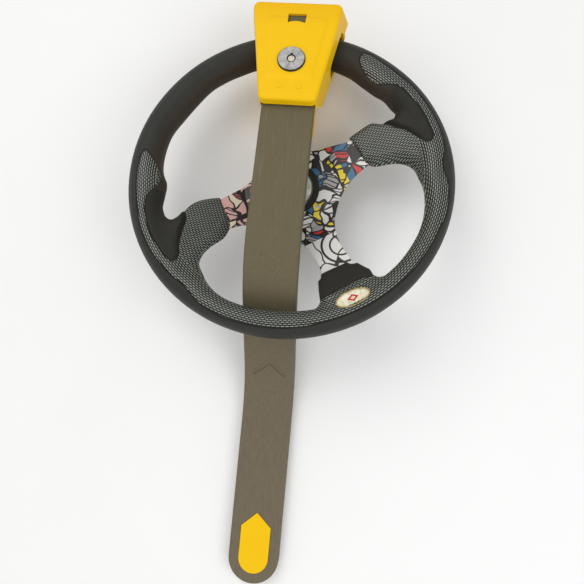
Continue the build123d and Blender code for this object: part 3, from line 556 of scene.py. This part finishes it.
def thin(P, r):
    """drops points closer than r to an earlier one"""
    cell = {}
    keep = []
    r2 = r * r
    for i, (x, y) in enumerate(P):
        cx, cy = int(math.floor(x / r)), int(math.floor(y / r))
        ok = True
        for u in (cx - 1, cx, cx + 1):
            for v in (cy - 1, cy, cy + 1):
                for j in cell.get((u, v), ()):
                    if (P[j][0] - x) ** 2 + (P[j][1] - y) ** 2 < r2:
                        ok = False
                        break
                if not ok:
                    break
            if not ok:
                break
        if ok:
            cell.setdefault((cx, cy), []).append(i)
            keep.append(i)
    return P[keep]


def triangulate(loops, pts, hole_test):
    """constrained loops plus loose points, triangles kept where hole_test(centroids) is true"""
    verts, edges = [], []
    for lp, closed in loops:
        base = len(verts)
        verts += [Vector((float(x), float(y))) for x, y in lp]
        k = len(lp)
        edges += [(base + i, base + i + 1) for i in range(k - 1)]
        if closed:
            edges.append((base + k - 1, base))
    verts += [Vector((float(x), float(y))) for x, y in pts]
    co, _, faces, _, _, _ = delaunay_2d_cdt(verts, edges, [], 0, 1e-5)
    V = np.array([(v.x, v.y) for v in co])
    F = np.array([list(f) for f in faces if len(f) == 3])
    cen = V[F].mean(1)
    a = V[F[:, 1]] - V[F[:, 0]]
    b = V[F[:, 2]] - V[F[:, 0]]
    area2 = a[:, 0] * b[:, 1] - a[:, 1] * b[:, 0]
    keep = hole_test(cen) & (np.abs(area2) > 1e-7)
    F = F[keep]
    flip = area2[keep] < 0
    F[flip] = F[flip][:, ::-1]
    return V, F


def solid_piece(name, parts, mp, mat, sharp=38.0):
    """parts: list of (V, F, top, bottom); each becomes a closed shell: top faces, bottom faces and walls on the free edges"""
    verts, faces = [], []
    for V, F, top, bot in parts:
        used = np.unique(F)
        ren = -np.ones(len(V), int)
        ren[used] = np.arange(len(used))
        f = ren[F]
        U = V[used]
        zt, zb = top[used], bot[used]
        base = len(verts)
        k = len(used)
        verts += [mp(x, y, z) for (x, y), z in zip(U, zt)]
        verts += [mp(x, y, z) for (x, y), z in zip(U, zb)]
        faces += [(base + a, base + b, base + c) for a, b, c in f]
        faces += [(base + k + c, base + k + b, base + k + a) for a, b, c in f]
        e = {}
        for a, b, c in f:
            for p, q in ((a, b), (b, c), (c, a)):
                e[(p, q)] = 1
        for (p, q) in e:
            if (q, p) not in e:
                faces.append((base + q, base + p, base + k + p, base + k + q))
    me = bpy.data.meshes.new(name)
    me.from_pydata(verts, [], faces)
    bm = bmesh.new()
    bm.from_mesh(me)
    bmesh.ops.remove_doubles(bm, verts=bm.verts, dist=2e-6)
    bmesh.ops.dissolve_degenerate(bm, edges=bm.edges, dist=1e-6)
    bm.to_mesh(me)
    bm.free()
    me.shade_smooth()
    me.set_sharp_from_angle(angle=math.radians(sharp))
    o = bpy.data.objects.new(name, me)
    scene.collection.objects.link(o)
    me.materials.append(mat)
    return o


def lattice(x0, x1, y0, y1, s):
    out = []
    j = 0
    y = y0
    while y <= y1:
        x = x0 + (s / 2 if j % 2 else 0)
        while x <= x1:
            out.append((x, y))
            x += s
        y += s * 0.866
        j += 1
    return np.array(out)


def sstep(a, lo, hi):
    t = np.clip((a - lo) / (hi - lo), 0, 1)
    return t * t * (3 - 2 * t)


def quarter(t):
    t = np.clip(t, 0, 1)
    return np.sqrt(np.clip(1 - (1 - t) ** 2, 0, 1))


# ------------------------------------------------------------------ the wheel's skin
S_TOP = [(65.2, 49.5), (77, 58.5), (89, 66), (100.2, 66.6), (107, 67.6), (113, 70.4), (115.6, 76.5), (110.5, 83.4), (100.3, 91.2), (89.4, 98.8), (77, 108.3), (63, 119),
         (51.7, 125.3), (35.4, 131.6), (12, 136.2), (-12, 136.6), (-35.4, 132.2), (-59.1, 123.1), (-72, 116.9), (-86, 107.5), (-99.8, 93.6), (-115.9, 72.8),
         (-127.8, 55.2), (-134.9, 36.4), (-137.3, 20), (-136.4, 8), (-135.0, -2.7), (-136.0, -17.7), (-137, -31), (-132.4, -42.5), (-126, -45.8),
         (-120.5, -42.8), (-114, -33.5), (-108, -25.6), (-98.5, -21), (-88, -18.8), (-76.5, -17.5)]
S_LL = [(-60.5, -55.5), (-67.3, -69), (-80.5, -79.5), (-88, -89), (-90.5, -98), (-88.8, -106), (-83.1, -116.3), (-72.3, -127.8), (-59.7, -135.8), (-43.9, -140.9),
        (-15, -146), (10, -147.2), (24, -146.4), (31.2, -142.2), (34.0, -136.5)]
S_LOW = [(34.0, -136.5), (32.3, -124), (31.6, -113), (34.5, -109.2), (34.5, -104.8)]
S_LOW2 = [(62, -92), (66.8, -94.0), (72.1, -92.7), (84.8, -101.4), (88, -108)]
S_R = [(88, -108), (92.5, -110.6), (98.5, -109.8), (104.1, -106.2), (114.6, -95.5), (126.3, -79.3), (135.2, -62.9), (141.1, -44), (143.2, -21.5), (141.6, -11.3),
       (138.1, -1.1), (131.8, 7.7), (122.7, 13.1), (112, 14.1), (100, 12.4), (91, 10.8), (82.5, 13.5)]
WEAVE_IN_L = [(-114.2, -32.5), (-110.6, -43.0), (-112.5, -59.2), (-113.8, -74.7), (-112.9, -90.0), (-116.8, -97.0), (-123.9, -92.4), (-132.7, -81.7), (-142.1, -66.1), (-147.6, -50.0),
              (-150.0, -35.1), (-148.2, -23.4), (-143.2, -15.0), (-139.2, -8.0), (-138.4, 0.0), (-140.8, 9.0), (-146.5, 19.5), (-151.5, 26.0), (-155.4, 28.6)]
WEAVE_OUT = [(-155.4, 28.6), (-159.2, 23.0), (-161.6, 8.0), (-161.9, -7.1), (-160.6, -22.0), (-158.6, -36.4), (-155.2, -53.5), (-149.1, -70.5), (-139.7, -87.2), (-128.3, -101.2), (-119.2, -111.0), (-112.5, -116.4), (-105.4, -121.6),
             (-98.3, -129.2), (-88.8, -140.0), (-78.0, -147.6), (-62.7, -155.4), (-46.2, -160.8), (-24.5, -165.1), (-3.1, -166.4), (14.0, -165.4), (24.7, -163.9), (44.6, -158.6),
             (64.5, -151.3), (84.5, -141.5), (104.6, -127.4), (121.1, -112.6), (133.5, -98.1), (145.3, -80.1), (153.2, -64.5), (158.4, -56.0), (162.4, -43.5), (165.0, -26.0),
             (164.6, -13.5), (161.6, -3.0), (160.4, 8.5), (162.6, 21.0), (162.4, 32.4), (159.8, 44.4), (155.4, 58.4), (148.6, 73.4), (139, 89.0), (127.3, 103.4), (114, 116.7),
             (100.5, 129.0), (88.8, 138.2), (81.2, 141.0)]
WEAVE_IN_R = [(81.2, 141.0), (76.4, 134.6), (78.1, 124.2), (83.6, 114.5), (91.7, 106.2), (99.9, 102.9), (110.8, 101.4), (119, 97.6), (128.1, 87.9), (137.1, 75.3), (143.4, 62.9),
              (148.2, 50.7), (151.6, 41.0), (150.6, 34.8), (146.6, 33.2), (141.8, 36.1), (133.9, 44.3), (124.8, 52.1), (112.8, 59.0), (100.4, 66.4)]
LOW_EDGE = [(87.6, -108.6), (85.3, -111.1), (74.1, -113.8), (62.9, -120.1), (49.7, -126.6), (34.2, -136.2)]
INS_L = np.array([(-151.5, -24), (-145, -16), (-128, -12), (-96, -12), (-96, -104), (-118, -100), (-136, -88), (-152, -60)])
INS_R = np.array([(90, 70), (104, 62), (140, 30), (154, 30), (156, 44), (140, 78), (124, 99), (114, 101), (110, 92), (112.5, 82), (118, 74), (112, 66), (100, 75)])

EYE = (44.7, -263.95, 541.2)


def slide(pts, z0, z1):
    """moves plan points from height z0 to the heights z1 along the lines to the eye point"""
    out = []
    for (x, y), b in zip(pts, z1):
        k = (b - EYE[2]) / (z0 - EYE[2])
        out.append((EYE[0] + (x - EYE[0]) * k, EYE[1] + (y - EYE[1]) * k))
    return out


# the upper rim's inner edge is the widest line of the rim, so it comes from the radius table
def on_rim(pts):
    out = []
    for x, y in pts:
        a = math.degrees(math.atan2(y, x)) % 360
        q = float(np.interp(a, TH, RI))
        out.append((q * math.cos(math.radians(a)), q * math.sin(math.radians(a))))
    return out


# table of the rim's inner radius by angle
TH = [0, 14, 33.7, 37, 42, 47.7, 54.6, 62, 67, 75, 90, 115.6, 121.6, 128.7, 137, 147.9, 156.5, 165.3, 171.7, 181, 187, 193, 205, 215, 225, 234, 240, 246, 258, 270, 283, 297, 311, 318, 326, 335, 343, 351, 360]
RI = [139, 140, 140.8, 141.6, 139.2, 137.2, 137.7, 140.3, 141.2, 143.3, 143.8, 143.3, 143.8, 144.0, 142.0, 141.6, 143.6, 142.8, 141.4, 137.0, 139.4, 142.2, 143, 143.5, 144.5, 143.5, 146.8, 148.2, 147.6, 147, 147.8, 148, 147.8, 148.8, 149.1, 149.1, 147.8, 144.4, 139]
S_TOP = (slide(S_TOP[:3], -8, (-21, -17, -13)) + S_TOP[3:8] + on_rim(S_TOP[8:26]) + S_TOP[26:33] +
         slide(S_TOP[33:], -12, (-12.5, -16, -19.5, -22.5)))
S_LL = slide(S_LL[:5], 4, (-18, -16, -13, -11, -9)) + S_LL[5:]
S_R = S_R[:-6] + slide(S_R[-6:], 4, (-3, -6, -9, -12, -15, -17))
GAP = 1.5
top_in, ll_in = smooth_path(S_TOP, GAP), smooth_path(S_LL, GAP)
low_in, low2_in, r_in = even(np.array(S_LOW, float), GAP), even(np.array(S_LOW2, float), GAP), smooth_path(S_R, GAP)
lips = [even(np.array(p, float), GAP) for p in ([S_TOP[-1], S_LL[0]], [S_LOW[-1], S_LOW2[0]], [S_R[-1], S_TOP[0]])]
inner = np.concatenate([top_in, lips[0][1:-1], ll_in, low_in[1:], lips[1][1:-1], low2_in, r_in[1:], lips[2][1:-1]])
t = np.linspace(0, 2 * np.pi, 721)[:-1]
outer = np.column_stack([175.0 * np.cos(t), 175.0 * np.sin(t)])
wl, wo, wr, we = smooth_path(WEAVE_IN_L, 1.2), smooth_path(WEAVE_OUT, 1.2), smooth_path(WEAVE_IN_R, 1.2), smooth_path(LOW_EDGE, 1.2)
weave_poly = np.concatenate([wl, wo[1:], wr[1:], [(86, 72), (52, 60), (30, 0), (95, -60), (93, -104)], we, [(24, -130), (0, -60), (-40, -20), (-90, 5), (-112, -20)]])
groove = [wl, wo, wr, we]

rings = np.concatenate([offsets(p, [-v for v in (0.1, 0.4, 0.95, 1.8, 3.0, 4.4, 6.0, 7.6, 8.5, 9.4, 11.0, 13.0)]) for p in (top_in, ll_in, low_in, low2_in, r_in)] +
                       [offsets(p, [-0.3, -0.9, -1.8]) for p in lips])
orings = np.concatenate([np.column_stack([(175.0 - d) * np.cos(t), (175.0 - d) * np.sin(t)]) for d in (0.1, 0.4, 0.95, 1.8, 3.0, 4.4, 6.0, 7.7, 9.5, 11.5)])
gpts = np.concatenate([offsets(p, [0.0, 0.32, -0.32, 0.75, -0.75, 1.4, -1.4]) for p in groove])
body = lattice(-176, 176, -176, 176, 2.7)
allp = np.concatenate([gpts, rings, orings, body])
rr = np.hypot(allp[:, 0], allp[:, 1])
allp = allp[(rr < 174.95)]
allp = allp[~inside(allp, inner)]
dist_in = seg_dist(allp, np.vstack([inner, inner[:1]]))
allp = allp[dist_in > 0.08]
ng = [len(x) for x in (gpts,)]
allp = thin(allp, 0.30)
# coarser spacing away from the fine rings
V, F = triangulate([(inner, True), (outer, True)], allp, lambda c: (~inside(c, inner)) & (np.hypot(c[:, 0], c[:, 1]) < 175.0))

x, y = V[:, 0], V[:, 1]
r = np.hypot(x, y)
th = np.degrees(np.arctan2(y, x)) % 360
walls = np.concatenate([top_in, ll_in[1:], low_in[1:]])
d_in = np.minimum.reduce([seg_dist(V, p) for p in (top_in, ll_in, low_in, low2_in, r_in)])
d_lip = np.minimum.reduce([seg_dist(V, p) for p in lips])
d_gr = np.minimum.reduce([seg_dist(V, p) for p in groove])
rin = np.interp(th, TH, RI)
a = (175.0 - rin) / 2
Rc = 175.0 - a
TT = np.interp(th, [0, 20, 50, 190, 225, 360], [15.0, 15.4, 16.0, 16.0, 15.0, 15.0])
torus = TT * np.sqrt(np.clip(1 - np.abs((r - Rc) / a) ** 2.15, 0, 1))
side_t = np.interp(r, [62, 78, 84, 100, 118, 134, 146, 152, 160], [-24.0, -17.3, -14.1, -7.8, -1.0, 5.2, 10.6, 12.6, 14.5])
side_b = np.interp(r, [62, 78, 100, 120, 140, 152, 160], [-30.5, -27.8, -23.3, -18.9, -14.0, -13.0, -14.0])
low_t = np.interp(r, [100, 108, 113, 126, 138, 148, 156], [-10.5, -8.5, -4.5, 1.5, 8.0, 12.0, 13.8])
low_b = np.interp(r, [100, 108, 124, 140, 148, 156], [-20.5, -19.0, -17.3, -13.8, -13.0, -13.5])
is_low = sstep(th, 268, 276) * (1 - sstep(th, 322, 330))
env_t = side_t * (1 - is_low) + low_t * is_low
env_b = side_b * (1 - is_low) + low_b * is_low
mid = (env_t + env_b) / 2
mid = mid * (1 - sstep(r, 146, 156))
# soft inserts stand higher than the covers beside them
C0 = V
ins_l, ins_r = inside(V, INS_L), inside(V, INS_R)
in_weave = inside(V, weave_poly)
lift = np.interp(r, [100, 112, 124, 140, 150, 156], [5.0, 7.5, 7.0, 3.0, 1.0, 0.0])
soft = (ins_l | ins_r) & ~in_weave
env_t = env_t + lift * soft * sstep(d_gr, 0.2, 2.6)
w_in = np.interp(r, [60, 128, 146], [9.0, 9.5, 12.0])
fall = 0.86 * quarter(d_in / w_in) ** 0.9 + 0.14 * sstep(d_in, w_in * 0.9, w_in * 2.3)
lipf = 0.72 + 0.28 * quarter(d_lip / 1.8)
outf = quarter((175.0 - r) / (a * 0.95))
sp_t = mid + (env_t - mid) * fall * lipf * outf
sp_b = mid + (env_b - mid) * quarter(d_in / 9.0) * lipf * outf
k = 1.2
top = np.where(torus > 0.02, np.maximum(torus, sp_t) + k * np.exp(-np.abs(torus - sp_t) / k) * 0.35 * (r > 128) * sstep(d_in, 0, 6) * sstep(175 - r, 0, 6), sp_t)
bot = np.where(torus > 0.02, np.minimum(-torus, sp_b), sp_b)
# the bright crease along the lower sides of the two side covers
d_cr = np.minimum(seg_dist(V, ll_in[:46]), seg_dist(V, r_in[-62:]))
crease = 0.55 * np.exp(-((d_cr - 9.0) / 0.75) ** 2) * (r < 139)
top = top + crease
# woven film stands a little proud, with a groove round it
proud = 0.22 * sstep(d_gr, 0.7, 1.5) * in_weave
cut = 1.15 * np.exp(-(d_gr / 0.62) ** 2) * sstep(d_in, 0.0, 1.2)
top = top + proud - cut
edge = (d_in < 1e-4)
m0 = np.where(r > 130, 0.0, mid)
top = np.maximum(top, bot)

cen = V[F].mean(1)
c_weave = inside(cen, weave_poly)
cr = np.hypot(cen[:, 0], cen[:, 1])
near = np.minimum.reduce([seg_dist(cen, p) for p in groove]) < 0.62
c_insl, c_insr = inside(cen, INS_L), inside(cen, INS_R)
dlow = inside(cen, np.array([(20, -138)] + [tuple(p) for p in we[::-1]] + [(96, -104), (60, -80), (20, -95)]))
lab = np.zeros(len(F), int)                      # 0 grip
lab[c_weave & ~near] = 1                          # 1 woven film
lab[(lab != 1) & dlow & ~near] = 4
lab[(lab == 0) & c_insl & ~near] = 2
lab[(lab == 0) & c_insr & ~near] = 3
film_on_rim = 1 * (cr > 146)
under = 2.4
thick_enough = (top - bot) > 6.0
tri_thick = thick_enough[F].all(1)
plate_like = (lab == 1) & (cr > 150) & tri_thick
mesh_parts = {
    "weave_film": [(V, F[plate_like], top, top - under), (V, F[(lab == 1) & ~plate_like], top, bot)],
    "rim_skin": [(V, F[lab == 0], top, bot), (V, F[plate_like], top - under - 0.02, bot)],
    "left_insert": [(V, F[lab == 2], top, bot)],
    "right_insert": [(V, F[lab == 3], top, bot)],
    "bottom_cover": [(V, F[lab == 4], top, bot)],
}
for nm, mat, nodes, slot in (("weave_film", "weave", ("left_trim", "right_trim", "lower_trim", "left_spoke_cover", "right_spoke_cover"), "weave_trim"),
                             ("rim_skin", "grip", ("rim_grip",), "grip"), ("left_insert", "insert", ("left_thumb_insert",), "insert"),
                             ("right_insert", "insert", ("right_thumb_insert",), "insert"), ("bottom_cover", "insert", ("bottom_spoke_cover",), "insert")):
    o = solid_piece(nm, mesh_parts[nm], W, M[mat])
    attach(o, "wheel_and_bar")
    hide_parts(*nodes)
    print(nm, len(o.data.vertices), len(o.data.polygons))
